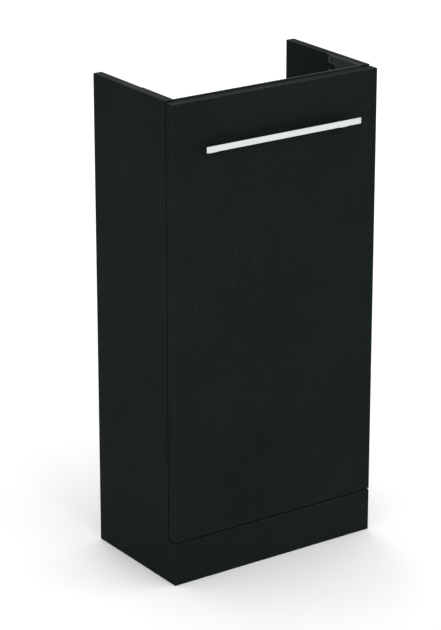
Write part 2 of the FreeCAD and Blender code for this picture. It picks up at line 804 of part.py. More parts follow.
def make_plate(level, z):
    """The steel plate on the side panel, with the rib that the arm clamps on, and the screws of both."""
    arm_face, arm_top = arm_faces()
    centre = hole_lines()["front"]
    base_face = inner_half - dim("plate_base")
    front = centre - dim("plate_length") / 2
    base = block(
        f"{level}_plate_base",
        (base_face, front, z - dim("plate_height") / 2),
        (dim("plate_base"), dim("plate_length"), dim("plate_height")),
    )
    rib = block(
        f"{level}_plate_rib",
        (arm_face, front, z - dim("plate_rib_width") / 2),
        (base_face - arm_face, dim("plate_length"), dim("plate_rib_width")),
    )
    radius = dim("screw_radius")
    cuts = []
    clamps = []
    screws = []
    clamp_length = dim("arm_thickness") + dim("arm_clear") - dim("screw_tip_gap")
    for number, y in enumerate(clamp_places()):
        hole_low = (arm_face, y, z)
        cuts.append(rod(f"{level}_rib_hole_{number}", "x", hole_low, radius + fit_gap, dim("arm_clear")))
        clamps.append(screw(f"{level}_clamp_{number}", "x", (arm_top, y, z), 1, radius, clamp_length))
    for sign in (-1, 1):
        low = (base_face, centre, z + dim("plate_screw_spacing") / 2 * sign)
        cuts.append(rod(f"{level}_base_hole_{sign + 1}", "x", low, radius + fit_gap, dim("plate_base")))
        screws.append(screw(f"{level}_plate_screw_{sign + 1}", "x", low, 1, radius, dim("screw_length")))
    plate = cut(f"{level}_plate_cut", fuse(f"{level}_plate_blank", [base, rib]), cuts)
    finish(plate, f"{level}_hinge_plate")
    return clamps, screws


def make_hinges():
    """Both hinges, with their equal small pieces gathered by kind."""
    pins = []
    cup_screws = []
    clamps = []
    plate_screws = []
    for level, z in hinge_heights.items():
        pin, cup_set = make_cup(level, z)
        make_arm(level, z)
        clamp_set, plate_set = make_plate(level, z)
        pins.append(pin)
        cup_screws.extend(cup_set)
        clamps.extend(clamp_set)
        plate_screws.extend(plate_set)
    finish(group("pin_group", pins), "hinge_pins")
    finish(group("cup_screw_group", cup_screws), "hinge_cup_screws")
    finish(group("clamp_group", clamps), "hinge_clamp_screws")
    finish(group("plate_screw_group", plate_screws), "hinge_plate_screws")


def check_and_write():
    """Stop if any object failed or any sub-part is empty or broken, then write one file a sub-part."""
    document.recompute()
    for item in document.Objects:
        if "Invalid" in item.State or "Error" in item.State:
            raise RuntimeError(f"{item.Name} failed: {item.State}")
    os.makedirs("parts", exist_ok=True)
    for item in finished:
        shape = item.Shape
        if shape.isNull() or not shape.isValid() or not shape.Solids:
            raise RuntimeError(f"{item.Label} has no valid solid")
    for item in finished:
        item.Shape.exportStep(f"parts/{item.Label}.step")
        print(f"{item.Label}: {len(item.Shape.Solids)} solids, {item.Shape.Volume:.1f} mm3")


make_side_panels()
make_bottom_panel()
make_back_rails()
make_board_fittings()
make_plinth()
make_shelf()
make_front_rail()
make_handle()
make_door()
make_hinges()
check_and_write()
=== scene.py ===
"""Looks of the slim cloakroom wash stand: finishes, turned screws and cams, studio, light and camera.

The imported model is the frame. It is in metres, +X to the right, +Y to the back and +Z up, with its
origin on the floor under the middle of the cabinet.
"""
import logging
import math
from dataclasses import dataclass, field
from enum import Enum
from typing import Any, Mapping, Sequence

import bmesh
import bpy
import numpy as np
from mathutils import Matrix, Vector


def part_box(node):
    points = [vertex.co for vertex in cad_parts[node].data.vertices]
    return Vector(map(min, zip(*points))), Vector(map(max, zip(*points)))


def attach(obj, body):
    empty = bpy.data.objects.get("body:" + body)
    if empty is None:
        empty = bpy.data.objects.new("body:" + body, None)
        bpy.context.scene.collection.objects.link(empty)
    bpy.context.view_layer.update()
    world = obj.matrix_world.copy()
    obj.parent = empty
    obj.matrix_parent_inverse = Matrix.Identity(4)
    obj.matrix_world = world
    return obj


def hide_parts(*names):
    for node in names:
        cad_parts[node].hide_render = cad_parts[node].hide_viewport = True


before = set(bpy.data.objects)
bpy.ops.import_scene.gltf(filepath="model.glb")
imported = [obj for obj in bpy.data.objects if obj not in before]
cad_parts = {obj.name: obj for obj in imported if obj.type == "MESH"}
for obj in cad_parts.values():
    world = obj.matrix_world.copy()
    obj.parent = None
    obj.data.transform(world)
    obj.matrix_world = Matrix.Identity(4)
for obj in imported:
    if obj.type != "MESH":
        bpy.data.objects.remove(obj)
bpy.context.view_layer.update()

log = logging.getLogger("wash_stand")
logging.basicConfig(level=logging.INFO, format="%(name)s: %(message)s")

MM = 0.001

# Socket numbers of a Mix node in its colour mode: how much, the two colours, and what comes out
AMOUNT = 0
FIRST = 6
SECOND = 7
MIXED = 2

# The lean of a rounded normal, as a cosine, at which an edge starts to show and is at its full
EDGE_STARTS = 0.995
EDGE_IS_FULL = 0.85
EDGE_SAMPLES = 4

# Two soft noises, each about a half, add up to between these
TWO_NOISES_LOW = 0.6
TWO_NOISES_HIGH = 1.4

# How a CAD node is dressed: seams closer than this are closed, faces that lean apart by less are one
# flat face, and edges sharper than this are broken
SEAM_MM = 0.002
FLAT_DEG = 0.5
SHARP_DEG = 50.0

# Points on one cell of this grid, in cells a metre, are the same point
POINT_GRID = 1e6
# A ring narrower than this, in metres, is a single point on the axis
POINT_RADIUS = 1e-7
# A solid's head is where its points lie further out than this share of its reach
HEAD_REACH_SHARE = 0.9
# Solids are put in order by their middles, rounded to this many digits of a metre
ORDER_DIGITS = 5
ROUND_STEPS = 40
WIDE_ROUND_STEPS = 48
# How far a cutter stands past the face that it goes in from
OVERSHOOT_MM = 1.0

# Heights on a screw as shares of its thread's pitch: the tip's own rise, where a crest starts and ends
# and its root is reached, and how far under the head the plain shank starts
TIP_RISE = 0.25
CREST_START = 0.4
CREST_END = 0.5
ROOT_START = 0.95
SHOULDER_DROP = 0.6
# The pitches without a crest: one for the tip and two under the head
PLAIN_PITCHES = 3


class Axis(Enum):
    """A direction of the frame that a turned piece lies along."""

    X = 0
    Y = 1
    Z = 2


def linear(hex_colour: str) -> tuple[float, float, float, float]:
    """Turn an sRGB hex colour into linear RGBA.

    Args:
        hex_colour: six hex digits with a leading hash.

    Returns:
        Red, green, blue and an alpha of one.
    """
    parts = [int(hex_colour[start:start + 2], 16) / 255 for start in (1, 3, 5)]
    curve = [part / 12.92 if part <= 0.04045 else ((part + 0.055) / 1.055) ** 2.4 for part in parts]
    return (curve[0], curve[1], curve[2], 1.0)


def add_node(
    tree: bpy.types.NodeTree,
    kind: str,
    settings: Mapping[str, Any] | None = None,
    values: Mapping[str | int, Any] | None = None,
    links: Mapping[str | int, bpy.types.NodeSocket] | None = None,
) -> bpy.types.Node:
    """Add one shader node.

    Args:
        tree: the node tree that gets it.
        kind: the node's type name.
        settings: attributes of the node itself.
        values: unlinked input values, by socket name or number.
        links: sockets that feed its inputs, by socket name or number.

    Returns:
        The new node.
    """
    node = tree.nodes.new(kind)
    for name, value in (settings or {}).items():
        setattr(node, name, value)
    for key, value in (values or {}).items():
        node.inputs[key].default_value = value
    for key, socket in (links or {}).items():
        tree.links.new(socket, node.inputs[key])
    return node


def edge_mask(tree: bpy.types.NodeTree, radius: float) -> bpy.types.NodeSocket:
    """Where a surface turns over an edge, from how far a rounded normal leans away from the true one; it
    places the painted edge highlights.

    Args:
        tree: the material's node tree.
        radius: how far from the edge the mask reaches, in metres.

    Returns:
        A socket that is 0 on flat faces and 1 at an edge.
    """
    rounded = add_node(tree, "ShaderNodeBevel", {"samples": EDGE_SAMPLES}, {"Radius": radius})
    geometry = add_node(tree, "ShaderNodeNewGeometry")
    lean = add_node(
        tree,
        "ShaderNodeVectorMath",
        {"operation": "DOT_PRODUCT"},
        links={0: rounded.outputs["Normal"], 1: geometry.outputs["Normal"]},
    )
    mask = add_node(
        tree,
        "ShaderNodeMapRange",
        values={"From Min": EDGE_STARTS, "From Max": EDGE_IS_FULL, "To Min": 0.0, "To Max": 1.0},
        links={"Value": lean.outputs["Value"]},
    )
    return mask.outputs["Result"]


@dataclass(frozen=True)
class Finish:
    """What every finish shares: a name, and a material made round its own shader."""

    name: str

    def material(self) -> bpy.types.Material:
        """Build the finish as a new material.

        Returns:
            The material, with its nodes.
        """
        material = bpy.data.materials.new(self.name)
        material.use_nodes = True
        tree = material.node_tree
        tree.nodes.clear()
        place = add_node(tree, "ShaderNodeTexCoord").outputs["Object"]
        shader = self.shader(tree, place)
        add_node(tree, "ShaderNodeOutputMaterial", links={"Surface": shader.outputs["BSDF"]})
        return material

    def shader(self, tree: bpy.types.NodeTree, place: bpy.types.NodeSocket) -> bpy.types.Node:
        """Build the finish's own nodes.

        Args:
            tree: the material's node tree.
            place: the point in the frame, in metres.

        Returns:
            The shader node that ends them.
        """
        raise NotImplementedError


@dataclass(frozen=True)
class MattFoilBoard(Finish):
    """Particle board faced with matt foil, hot-pressed with a fine pebble, and edged in the same colour.

    It gives the eye a nearly black green-grey with no clear reflection, a fine pebble that shows close up,
    smears of slightly softer sheen, edges painted paler as a highlight that follows the smears, and raw chips
    on the walls of its drilled holes.
    """

    low: tuple[float, float, float]
    high: tuple[float, float, float]
    colour: str = "#060d09"
    # Painted highlight: the paler colour laid along the edges where the sheen smears run
    raised_colour: str = "#1f2622"
    edge_highlight_colour: str = "#353d39"
    chip_colour: str = "#8a7455"
    chip_dark_colour: str = "#4d3d2a"
    ior: float = 1.5
    specular: float = 0.009
    # Typical for matt foil, with how far the smears and the pebble take it either way
    roughness: float = 0.46
    smoother: float = 0.1
    rougher: float = 0.12
    mottle_mm: float = 160.0
    mottle_share: float = 0.5
    # The pressed pebble is about 0.4 mm across; it is drawn at 1.5 mm because a finer one would not show.
    pebble_mm: float = 1.5
    pebble_depth_mm: float = 0.25
    pebble_strength: float = 0.8
    pebble_contrast: float = 1.6
    pebble_offset: float = -0.55
    smear_mm: float = 70.0
    noise_roughness: float = 0.62
    chip_mm: float = 1.4
    edge_mm: float = 1.1
    core_inset_mm: float = 3.0

    def shader(self, tree: bpy.types.NodeTree, place: bpy.types.NodeSocket) -> bpy.types.Node:
        """Foil with its pebble and smears.

        Args:
            tree: the material's node tree.
            place: the point in the frame, in metres.

        Returns:
            The shader node.
        """
        layers: dict[str, bpy.types.NodeSocket] = {}
        for layer, size_mm, detail in (
            ("pebble", self.pebble_mm, 3.0),
            ("smear", self.smear_mm, 5.0),
            ("mottle", self.mottle_mm, 4.0),
        ):
            noise = add_node(
                tree,
                "ShaderNodeTexNoise",
                values={"Scale": 1 / (size_mm * MM), "Detail": detail, "Roughness": self.noise_roughness},
                links={"Vector": place},
            )
            layers[layer] = noise.outputs["Fac"]
        both = add_node(
            tree, "ShaderNodeMath", {"operation": "ADD"}, links={0: layers["smear"], 1: layers["pebble"]}
        )
        sheen = add_node(
            tree,
            "ShaderNodeMapRange",
            values={
                "From Min": TWO_NOISES_LOW,
                "From Max": TWO_NOISES_HIGH,
                "To Min": self.roughness - self.smoother,
                "To Max": self.roughness + self.rougher,
            },
            links={"Value": both.outputs["Value"]},
        )
        bump = add_node(
            tree,
            "ShaderNodeBump",
            values={"Strength": self.pebble_strength, "Distance": self.pebble_depth_mm * MM},
            links={"Height": layers["pebble"]},
        )
        return add_node(
            tree,
            "ShaderNodeBsdfPrincipled",
            values={"IOR": self.ior, "Specular IOR Level": self.specular},
            links={
                "Base Color": self.colours(tree, place, layers),
                "Roughness": sheen.outputs["Result"],
                "Normal": bump.outputs["Normal"],
            },
        )

    def colours(
        self,
        tree: bpy.types.NodeTree,
        place: bpy.types.NodeSocket,
        layers: Mapping[str, bpy.types.NodeSocket],
    ) -> bpy.types.NodeSocket:
        """Lay the foil's colours over each other, then the painted edge highlight and the raw chips.

        Args:
            tree: the material's node tree.
            place: the point in the frame, in metres.
            layers: the pebble, the smears and the mottle, each from 0 to 1.

        Returns:
            The colour's socket.
        """
        tone = add_node(
            tree, "ShaderNodeMath", {"operation": "MULTIPLY"}, {1: self.mottle_share}, {0: layers["mottle"]}
        )
        pebbled = add_node(
            tree,
            "ShaderNodeMath",
            {"operation": "MULTIPLY_ADD"},
            {1: self.pebble_contrast, 2: self.pebble_offset},
            {0: layers["pebble"]},
        )
        raised = add_node(
            tree,
            "ShaderNodeMath",
            {"operation": "ADD", "use_clamp": True},
            links={0: pebbled.outputs["Value"], 1: tone.outputs["Value"]},
        )
        face = add_node(
            tree,
            "ShaderNodeMix",
            {"data_type": "RGBA"},
            {FIRST: linear(self.colour), SECOND: linear(self.raised_colour)},
            {AMOUNT: raised.outputs["Value"]},
        )
        # Painted highlight along the edges: the edge mask times the sheen smears
        painted_edge_highlight = add_node(
            tree,
            "ShaderNodeMath",
            {"operation": "MULTIPLY"},
            links={0: edge_mask(tree, self.edge_mm * MM), 1: layers["smear"]},
        )
        edged = add_node(
            tree,
            "ShaderNodeMix",
            {"data_type": "RGBA"},
            {SECOND: linear(self.edge_highlight_colour)},
            {AMOUNT: painted_edge_highlight.outputs["Value"], FIRST: face.outputs[MIXED]},
        )
        chips = add_node(
            tree,
            "ShaderNodeTexVoronoi",
            values={"Scale": 1 / (self.chip_mm * MM), "Randomness": 1.0},
            links={"Vector": place},
        )
        chip_tone = add_node(tree, "ShaderNodeSeparateColor", links={"Color": chips.outputs["Color"]})
        chip = add_node(
            tree,
            "ShaderNodeMix",
            {"data_type": "RGBA"},
            {FIRST: linear(self.chip_dark_colour), SECOND: linear(self.chip_colour)},
            {AMOUNT: chip_tone.outputs["Red"]},
        )
        whole = add_node(
            tree,
            "ShaderNodeMix",
            {"data_type": "RGBA"},
            links={
                AMOUNT: self.core_mask(tree, place),
                FIRST: edged.outputs[MIXED],
                SECOND: chip.outputs[MIXED],
            },
        )
        return whole.outputs[MIXED]

    def core_mask(self, tree: bpy.types.NodeTree, place: bpy.types.NodeSocket) -> bpy.types.NodeSocket:
        """One where a point lies inside the board, as only the wall of a drilled hole does.

        Args:
            tree: the material's node tree.
            place: the point in the frame, in metres.

        Returns:
            A socket that is 1 in the board's core and 0 on its faces and edges.
        """
        parts = add_node(tree, "ShaderNodeSeparateXYZ", links={"Vector": place})
        mask: bpy.types.NodeSocket | None = None
        for axis in Axis:
            low = self.low[axis.value]
            high = self.high[axis.value]
            half = (high - low) / 2 - self.core_inset_mm * MM
            offset = add_node(
                tree,
                "ShaderNodeMath",
                {"operation": "SUBTRACT"},
                {1: (high + low) / 2},
                {0: parts.outputs[axis.name]},
            )
            away = add_node(
                tree, "ShaderNodeMath", {"operation": "ABSOLUTE"}, links={0: offset.outputs["Value"]}
            )
            within = add_node(
                tree, "ShaderNodeMath", {"operation": "LESS_THAN"}, {1: half}, {0: away.outputs["Value"]}
            ).outputs["Value"]
            if mask is None:
                mask = within
                continue
            both = add_node(tree, "ShaderNodeMath", {"operation": "MULTIPLY"}, links={0: mask, 1: within})
            mask = both.outputs["Value"]
        return mask


@dataclass(frozen=True)
class Metal(Finish):
    """A metal surface: cast, rolled or drawn, then plated, anodised or blackened.

    It gives the eye an even metal with fine directional marks, small changes of sheen, and edges painted
    brighter as a highlight.
    """

    colour: str
    mark_colour: str
    # Painted highlight: the brighter colour laid along the edges
    edge_highlight_colour: str
    roughness: float
    smoother: float = 0.07
    rougher: float = 0.1
    metallic: float = 1.0
    specular: float = 0.5
    # Real drawing marks are some hundredths of a millimetre apart; they are drawn coarser so that they show.
    mark_mm: float = 0.6
    mark_stretch: tuple[float, float, float] = (1.0, 1.0, 1.0)
    mark_depth_mm: float = 0.01
    mark_strength: float = 0.4
    mark_roughness: float = 0.65
    cloud_mm: float = 25.0
    cloud_roughness: float = 0.6
    edge_mm: float = 0.5

    def shader(self, tree: bpy.types.NodeTree, place: bpy.types.NodeSocket) -> bpy.types.Node:
        """Metal with its marks, clouds of sheen and edges.

        Args:
            tree: the material's node tree.
            place: the point in the frame, in metres.

        Returns:
            The shader node.
        """
        stretched = add_node(
            tree, "ShaderNodeVectorMath", {"operation": "MULTIPLY"}, {1: self.mark_stretch}, {0: place}
        )
        marks = add_node(
            tree,
            "ShaderNodeTexNoise",
            values={"Scale": 1 / (self.mark_mm * MM), "Detail": 3.0, "Roughness": self.mark_roughness},
            links={"Vector": stretched.outputs["Vector"]},
        ).outputs["Fac"]
        cloud = add_node(
            tree,
            "ShaderNodeTexNoise",
            values={"Scale": 1 / (self.cloud_mm * MM), "Detail": 4.0, "Roughness": self.cloud_roughness},
            links={"Vector": place},
        ).outputs["Fac"]
        marked = add_node(
            tree,
            "ShaderNodeMix",
            {"data_type": "RGBA"},
            {FIRST: linear(self.mark_colour), SECOND: linear(self.colour)},
            {AMOUNT: marks},
        )
        # Painted highlight: the edge colour laid over the marked metal along the edges
        colour = add_node(
            tree,
            "ShaderNodeMix",
            {"data_type": "RGBA"},
            {SECOND: linear(self.edge_highlight_colour)},
            {AMOUNT: edge_mask(tree, self.edge_mm * MM), FIRST: marked.outputs[MIXED]},
        )
        both = add_node(tree, "ShaderNodeMath", {"operation": "ADD"}, links={0: cloud, 1: marks})
        sheen = add_node(
            tree,
            "ShaderNodeMapRange",
            values={
                "From Min": TWO_NOISES_LOW,
                "From Max": TWO_NOISES_HIGH,
                "To Min": self.roughness - self.smoother,
                "To Max": self.roughness + self.rougher,
            },
            links={"Value": both.outputs["Value"]},
        )
        bump = add_node(
            tree,
            "ShaderNodeBump",
            values={"Strength": self.mark_strength, "Distance": self.mark_depth_mm * MM},
            links={"Height": marks},
        )
        return add_node(
            tree,
            "ShaderNodeBsdfPrincipled",
            values={"Metallic": self.metallic, "Specular IOR Level": self.specular},
            links={
                "Base Color": colour.outputs[MIXED],
                "Roughness": sheen.outputs["Result"],
                "Normal": bump.outputs["Normal"],
            },
        )


@dataclass(frozen=True)
class TurnedBeech(Finish):
    """Beech dowel, turned. It gives the eye a warm straight grain with short dark flecks."""

    name: str = "turned_beech"
    light: str = "#c8a06a"
    dark: str = "#9c7442"
    grain_mm: float = 0.9
    grain_depth_mm: float = 0.05
    grain_strength: float = 0.4
    along: tuple[float, float, float] = (0.12, 1.0, 1.0)
    ior: float = 1.5
    roughness: float = 0.6

    def shader(self, tree: bpy.types.NodeTree, place: bpy.types.NodeSocket) -> bpy.types.Node:
        """Beech with its grain.

        Args:
            tree: the material's node tree.
            place: the point in the frame, in metres.

        Returns:
            The shader node.
        """
        stretched = add_node(
            tree, "ShaderNodeVectorMath", {"operation": "MULTIPLY"}, {1: self.along}, {0: place}
        )
        grain = add_node(
            tree,
            "ShaderNodeTexNoise",
            values={"Scale": 1 / (self.grain_mm * MM), "Detail": 5.0},
            links={"Vector": stretched.outputs["Vector"]},
        )
        colour = add_node(
            tree,
            "ShaderNodeMix",
            {"data_type": "RGBA"},
            {FIRST: linear(self.dark), SECOND: linear(self.light)},
            {AMOUNT: grain.outputs["Fac"]},
        )
        bump = add_node(
            tree,
            "ShaderNodeBump",
            values={"Strength": self.grain_strength, "Distance": self.grain_depth_mm * MM},
            links={"Height": grain.outputs["Fac"]},
        )
        return add_node(
            tree,
            "ShaderNodeBsdfPrincipled",
            values={"Roughness": self.roughness, "IOR": self.ior},
            links={"Base Color": colour.outputs[MIXED], "Normal": bump.outputs["Normal"]},
        )


@dataclass(frozen=True)
class SoftUrethane(Finish):
    """Cast urethane pad. It gives the eye a milky, half-clear dot with a soft gloss."""

    name: str = "soft_urethane"
    clear: str = "#c9cdca"
    milky: str = "#a9aeab"
    cloud_mm: float = 3.0
    ior: float = 1.5
    roughness: float = 0.3
    transmission: float = 0.35

    def shader(self, tree: bpy.types.NodeTree, place: bpy.types.NodeSocket) -> bpy.types.Node:
        """Urethane with its clouds.

        Args:
            tree: the material's node tree.
            place: the point in the frame, in metres.

        Returns:
            The shader node.
        """
        cloud = add_node(
            tree,
            "ShaderNodeTexNoise",
            values={"Scale": 1 / (self.cloud_mm * MM), "Detail": 3.0},
            links={"Vector": place},
        )
        colour = add_node(
            tree,
            "ShaderNodeMix",
            {"data_type": "RGBA"},
            {FIRST: linear(self.clear), SECOND: linear(self.milky)},
            {AMOUNT: cloud.outputs["Fac"]},
        )
        return add_node(
            tree,
            "ShaderNodeBsdfPrincipled",
            values={"Roughness": self.roughness, "IOR": self.ior, "Transmission Weight": self.transmission},
            links={"Base Color": colour.outputs[MIXED]},
        )


@dataclass(frozen=True)
class StudioFloor(Finish):
    """Painted studio floor. It gives the eye an even matt white with faint clouds."""

    name: str = "pale_floor"
    colour: str = "#fdfdfc"
    patch_colour: str = "#fafafa"
    patches_a_metre: float = 1.5
    roughness: float = 0.8
    specular: float = 0.1

    def shader(self, tree: bpy.types.NodeTree, place: bpy.types.NodeSocket) -> bpy.types.Node:
        """Floor paint with its clouds.

        Args:
            tree: the material's node tree.
            place: the point in the frame, in metres.

        Returns:
            The shader node.
        """
        cloud = add_node(
            tree, "ShaderNodeTexNoise", values={"Scale": self.patches_a_metre}, links={"Vector": place}
        )
        colour = add_node(
            tree,
            "ShaderNodeMix",
            {"data_type": "RGBA"},
            {FIRST: linear(self.colour), SECOND: linear(self.patch_colour)},
            {AMOUNT: cloud.outputs["Fac"]},
        )
        return add_node(
            tree,
            "ShaderNodeBsdfPrincipled",
            values={"Roughness": self.roughness, "Specular IOR Level": self.specular},
            links={"Base Color": colour.outputs[MIXED]},
        )


# Extruded, brushed along its length and satin anodised: an even pale sheen with fine lengthwise lines, and
# edges painted paler as a highlight.
ANODISED_ALUMINIUM = Metal(
    name="satin_anodised_aluminium",
    colour="#dde1df",
    mark_colour="#b9bebc",
    edge_highlight_colour="#f2f4f3",
    roughness=0.3,
    mark_mm=0.7,
    mark_stretch=(0.015, 1.0, 1.0),
)
# Bent strip, powder coated: a satin charcoal with a fine orange peel, and folds and edges painted paler as a
# highlight.
POWDER_COATED_STEEL = Metal(
    name="powder_coated_steel",
    colour="#232b29",
    mark_colour="#192120",
    edge_highlight_colour="#6a716f",
    roughness=0.42,
    metallic=0.0,
    specular=0.08,
    mark_mm=0.9,
    mark_depth_mm=0.05,
    edge_mm=0.8,
)
# Cold-formed screws, oxide blackened: soft black heads, with their edges painted a paler brown as a
# highlight.
BLACKENED_STEEL = Metal(
    name="blackened_steel",
    colour="#141616",
    mark_colour="#090a0a",
    edge_highlight_colour="#2b2926",
    roughness=0.45,
    metallic=0.4,
)
# Pressed strip, bright nickel plated: warm grey shine with pressing lines, and edges painted bright as a
# highlight.
NICKEL_PLATED_STEEL = Metal(
    name="nickel_plated_steel",
    colour="#cfccc5",
    mark_colour="#a9a59d",
    edge_highlight_colour="#ebe9e4",
    roughness=0.24,
    mark_stretch=(1.0, 0.1, 1.0),
)
# Cold-formed screws and pins, blue zinc plated: cool bright heads, a little cloudy, with edges painted
# brighter as a highlight.
ZINC_PLATED_STEEL = Metal(
    name="zinc_plated_steel",
    colour="#bfc4c8",
    mark_colour="#9aa0a5",
    edge_highlight_colour="#dde1e4",
    roughness=0.32,
)
# Pressure die cast, left as cast: dull mid grey with a grainy skin, and edges painted paler as a highlight.
DIE_CAST_ZINC = Metal(
    name="die_cast_zinc",
    colour="#989b9d",
    mark_colour="#6f7274",
    edge_highlight_colour="#b4b7b8",
    roughness=0.45,
    mark_mm=0.8,
    mark_depth_mm=0.05,
)


def dress(node: str, material: bpy.types.Material, rounding_mm: float, segments: int = 2) -> None:
    """Give a CAD node its material and break its sharp edges.

    Args:
        node: the CAD node's name.
        material: what its every slot is filled with.
        rounding_mm: the width of the rounding along its edges.
        segments: how many steps the rounding has.
    """
    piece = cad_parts[node]
    if not piece.material_slots:
        piece.data.materials.append(material)
    for slot in piece.material_slots:
        slot.material = material
    weld = piece.modifiers.new("closed_seams", "WELD")
    weld.merge_threshold = SEAM_MM * MM
    whole_faces = piece.modifiers.new("whole_faces", "DECIMATE")
    whole_faces.decimate_type = "DISSOLVE"
    whole_faces.angle_limit = math.radians(FLAT_DEG)
    rounding = piece.modifiers.new("broken_edges", "BEVEL")
    rounding.width = rounding_mm * MM
    rounding.segments = segments
    rounding.limit_method = "ANGLE"
    rounding.angle_limit = math.radians(SHARP_DEG)
    rounding.use_clamp_overlap = False
    rounding.harden_normals = True
    log.info("dressed %s in %s", node, material.name)


@dataclass(frozen=True)
class Slug:
    """One separate solid of a CAD node: its box, the axis it lies along and the end that its head is on."""

    low: Vector
    high: Vector
    axis: Axis
    head_sign: int

    @property
    def middle(self) -> Vector:
        """The centre of its box."""
        return (self.low + self.high) / 2

    @property
    def length(self) -> float:
        """How long it is along its axis."""
        return self.high[self.axis.value] - self.low[self.axis.value]

    def along(self) -> Vector:
        """Which way it points.

        Returns:
            The unit vector from its tip to its head.
        """
        direction = Vector((0.0, 0.0, 0.0))
        direction[self.axis.value] = float(self.head_sign)
        return direction

    def stand_along(self) -> Matrix:
        """Where a turned piece goes to lie in this solid's place.

        Returns:
            The transform of a piece that was turned about +Z with its tip at the origin.
        """
        direction = self.along()
        tip = self.middle - direction * (self.length / 2)
        turn = Vector((0.0, 0.0, 1.0)).rotation_difference(direction)
        return Matrix.Translation(tip) @ turn.to_matrix().to_4x4()


def separate_solids(node: str, shortest: bool = False) -> list[Slug]:
    """Find each solid of a CAD node that holds several equal ones.

    Args:
        node: the CAD node's name.
        shortest: whether a solid lies along its shortest side, as a disc does, and not along its longest.

    Returns:
        One Slug for each solid, in a fixed order.
    """
    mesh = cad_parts[node].data
    count = len(mesh.vertices)
    points = np.zeros(count * 3)
    mesh.vertices.foreach_get("co", points)
    points = points.reshape(-1, 3)
    keys: dict[tuple[int, int, int], int] = {}
    parent = list(range(count))

    def root(index: int) -> int:
        """The first point that a point is joined to.

        Args:
            index: the point's number.

        Returns:
            The first point's number.
        """
        while parent[index] != index:
            parent[index] = parent[parent[index]]
            index = parent[index]
        return index

    for index, point in enumerate(points):
        key = tuple(int(round(value * POINT_GRID)) for value in point)
        if key in keys:
            parent[root(index)] = root(keys[key])
        else:
            keys[key] = index
    for edge in mesh.edges:
        parent[root(edge.vertices[0])] = root(edge.vertices[1])
    members: dict[int, list[int]] = {}
    for index in range(count):
        members.setdefault(root(index), []).append(index)
    slugs = []
    for indices in members.values():
        cloud = points[indices]
        low = cloud.min(axis=0)
        high = cloud.max(axis=0)
        sides = high - low
        number = int(np.argmin(sides)) if shortest else int(np.argmax(sides))
        others = [axis.value for axis in Axis if axis.value != number]
        middle = (low + high) / 2
        reach = np.linalg.norm(cloud[:, others] - middle[others], axis=1)
        outer = cloud[reach > HEAD_REACH_SHARE * reach.max()][:, number]
        sign = 1 if outer.mean() > middle[number] else -1
        slugs.append(Slug(Vector(low), Vector(high), Axis(number), sign))
    return sorted(slugs, key=lambda slug: tuple(round(value, ORDER_DIGITS) for value in slug.middle))


def turned(profile: Sequence[tuple[float, float]], steps: int = ROUND_STEPS) -> bpy.types.Mesh:
    """Turn a profile about +Z.

    Args:
        profile: (radius, height) points in metres, from the tip's centre to the head's centre.
        steps: how many flat sides approximate the round.

    Returns:
        A closed mesh.
    """
    shape = bmesh.new()
    angles = [2 * math.pi * step / steps for step in range(steps)]
    rings: list[list[bmesh.types.BMVert]] = []
    for radius, height in profile:
        if radius < POINT_RADIUS:
            rings.append([shape.verts.new((0.0, 0.0, height))])
            continue
        places = [(radius * math.cos(angle), radius * math.sin(angle), height) for angle in angles]
        rings.append([shape.verts.new(place) for place in places])
    for lower, upper in zip(rings, rings[1:]):
        for step in range(steps):
            after = (step + 1) % steps
            if len(lower) == 1 and len(upper) == 1:
                continue
            if len(lower) == 1:
                shape.faces.new((lower[0], upper[after], upper[step]))
            elif len(upper) == 1:
                shape.faces.new((lower[step], lower[after], upper[0]))
            else:
                shape.faces.new((lower[step], lower[after], upper[after], upper[step]))
    bmesh.ops.recalc_face_normals(shape, faces=shape.faces)
    mesh = bpy.data.meshes.new("turned")
    shape.to_mesh(mesh)
    shape.free()
    return mesh


def cross_cutter(length: float, reach_mm: float, width_mm: float, depth_mm: float) -> bpy.types.Mesh:
    """The cutter for a cross recess in the top of a piece that stands on the origin.

    Args:
        length: how tall the piece is, in metres.
        reach_mm: from the middle to the end of an arm.
        width_mm: how wide an arm is.
        depth_mm: how deep it goes in.

    Returns:
        Two crossed bars in one mesh.
    """
    reach = reach_mm * MM
    half = width_mm * MM / 2
    bottom = length - depth_mm * MM
    top = length + OVERSHOOT_MM * MM
    shape = bmesh.new()
    for across, along in ((reach, half), (half, reach)):
        low = Vector((-across, -along, bottom))
        high = Vector((across, along, top))
        bar = bmesh.ops.create_cube(shape, size=1.0)
        bmesh.ops.scale(shape, vec=high - low, verts=bar["verts"])
        bmesh.ops.translate(shape, vec=(low + high) / 2, verts=bar["verts"])
    mesh = bpy.data.meshes.new("cutter")
    shape.to_mesh(mesh)
    shape.free()
    return mesh


def cut_away(base: bpy.types.Mesh, cutter: bpy.types.Mesh) -> bpy.types.Mesh:
    """Take one mesh away from another.

    Args:
        base: the mesh that is cut.
        cutter: a closed mesh.

    Returns:
        The cut mesh.
    """
    scene = bpy.context.scene
    piece = bpy.data.objects.new("blank", base)
    tool = bpy.data.objects.new("tool", cutter)
    scene.collection.objects.link(piece)
    scene.collection.objects.link(tool)
    step = piece.modifiers.new("cut", "BOOLEAN")
    step.operation = "DIFFERENCE"
    step.solver = "EXACT"
    step.object = tool
    bpy.context.view_layer.update()
    result = bpy.data.meshes.new_from_object(piece.evaluated_get(bpy.context.evaluated_depsgraph_get()))
    bpy.data.objects.remove(piece)
    bpy.data.objects.remove(tool)
    return result


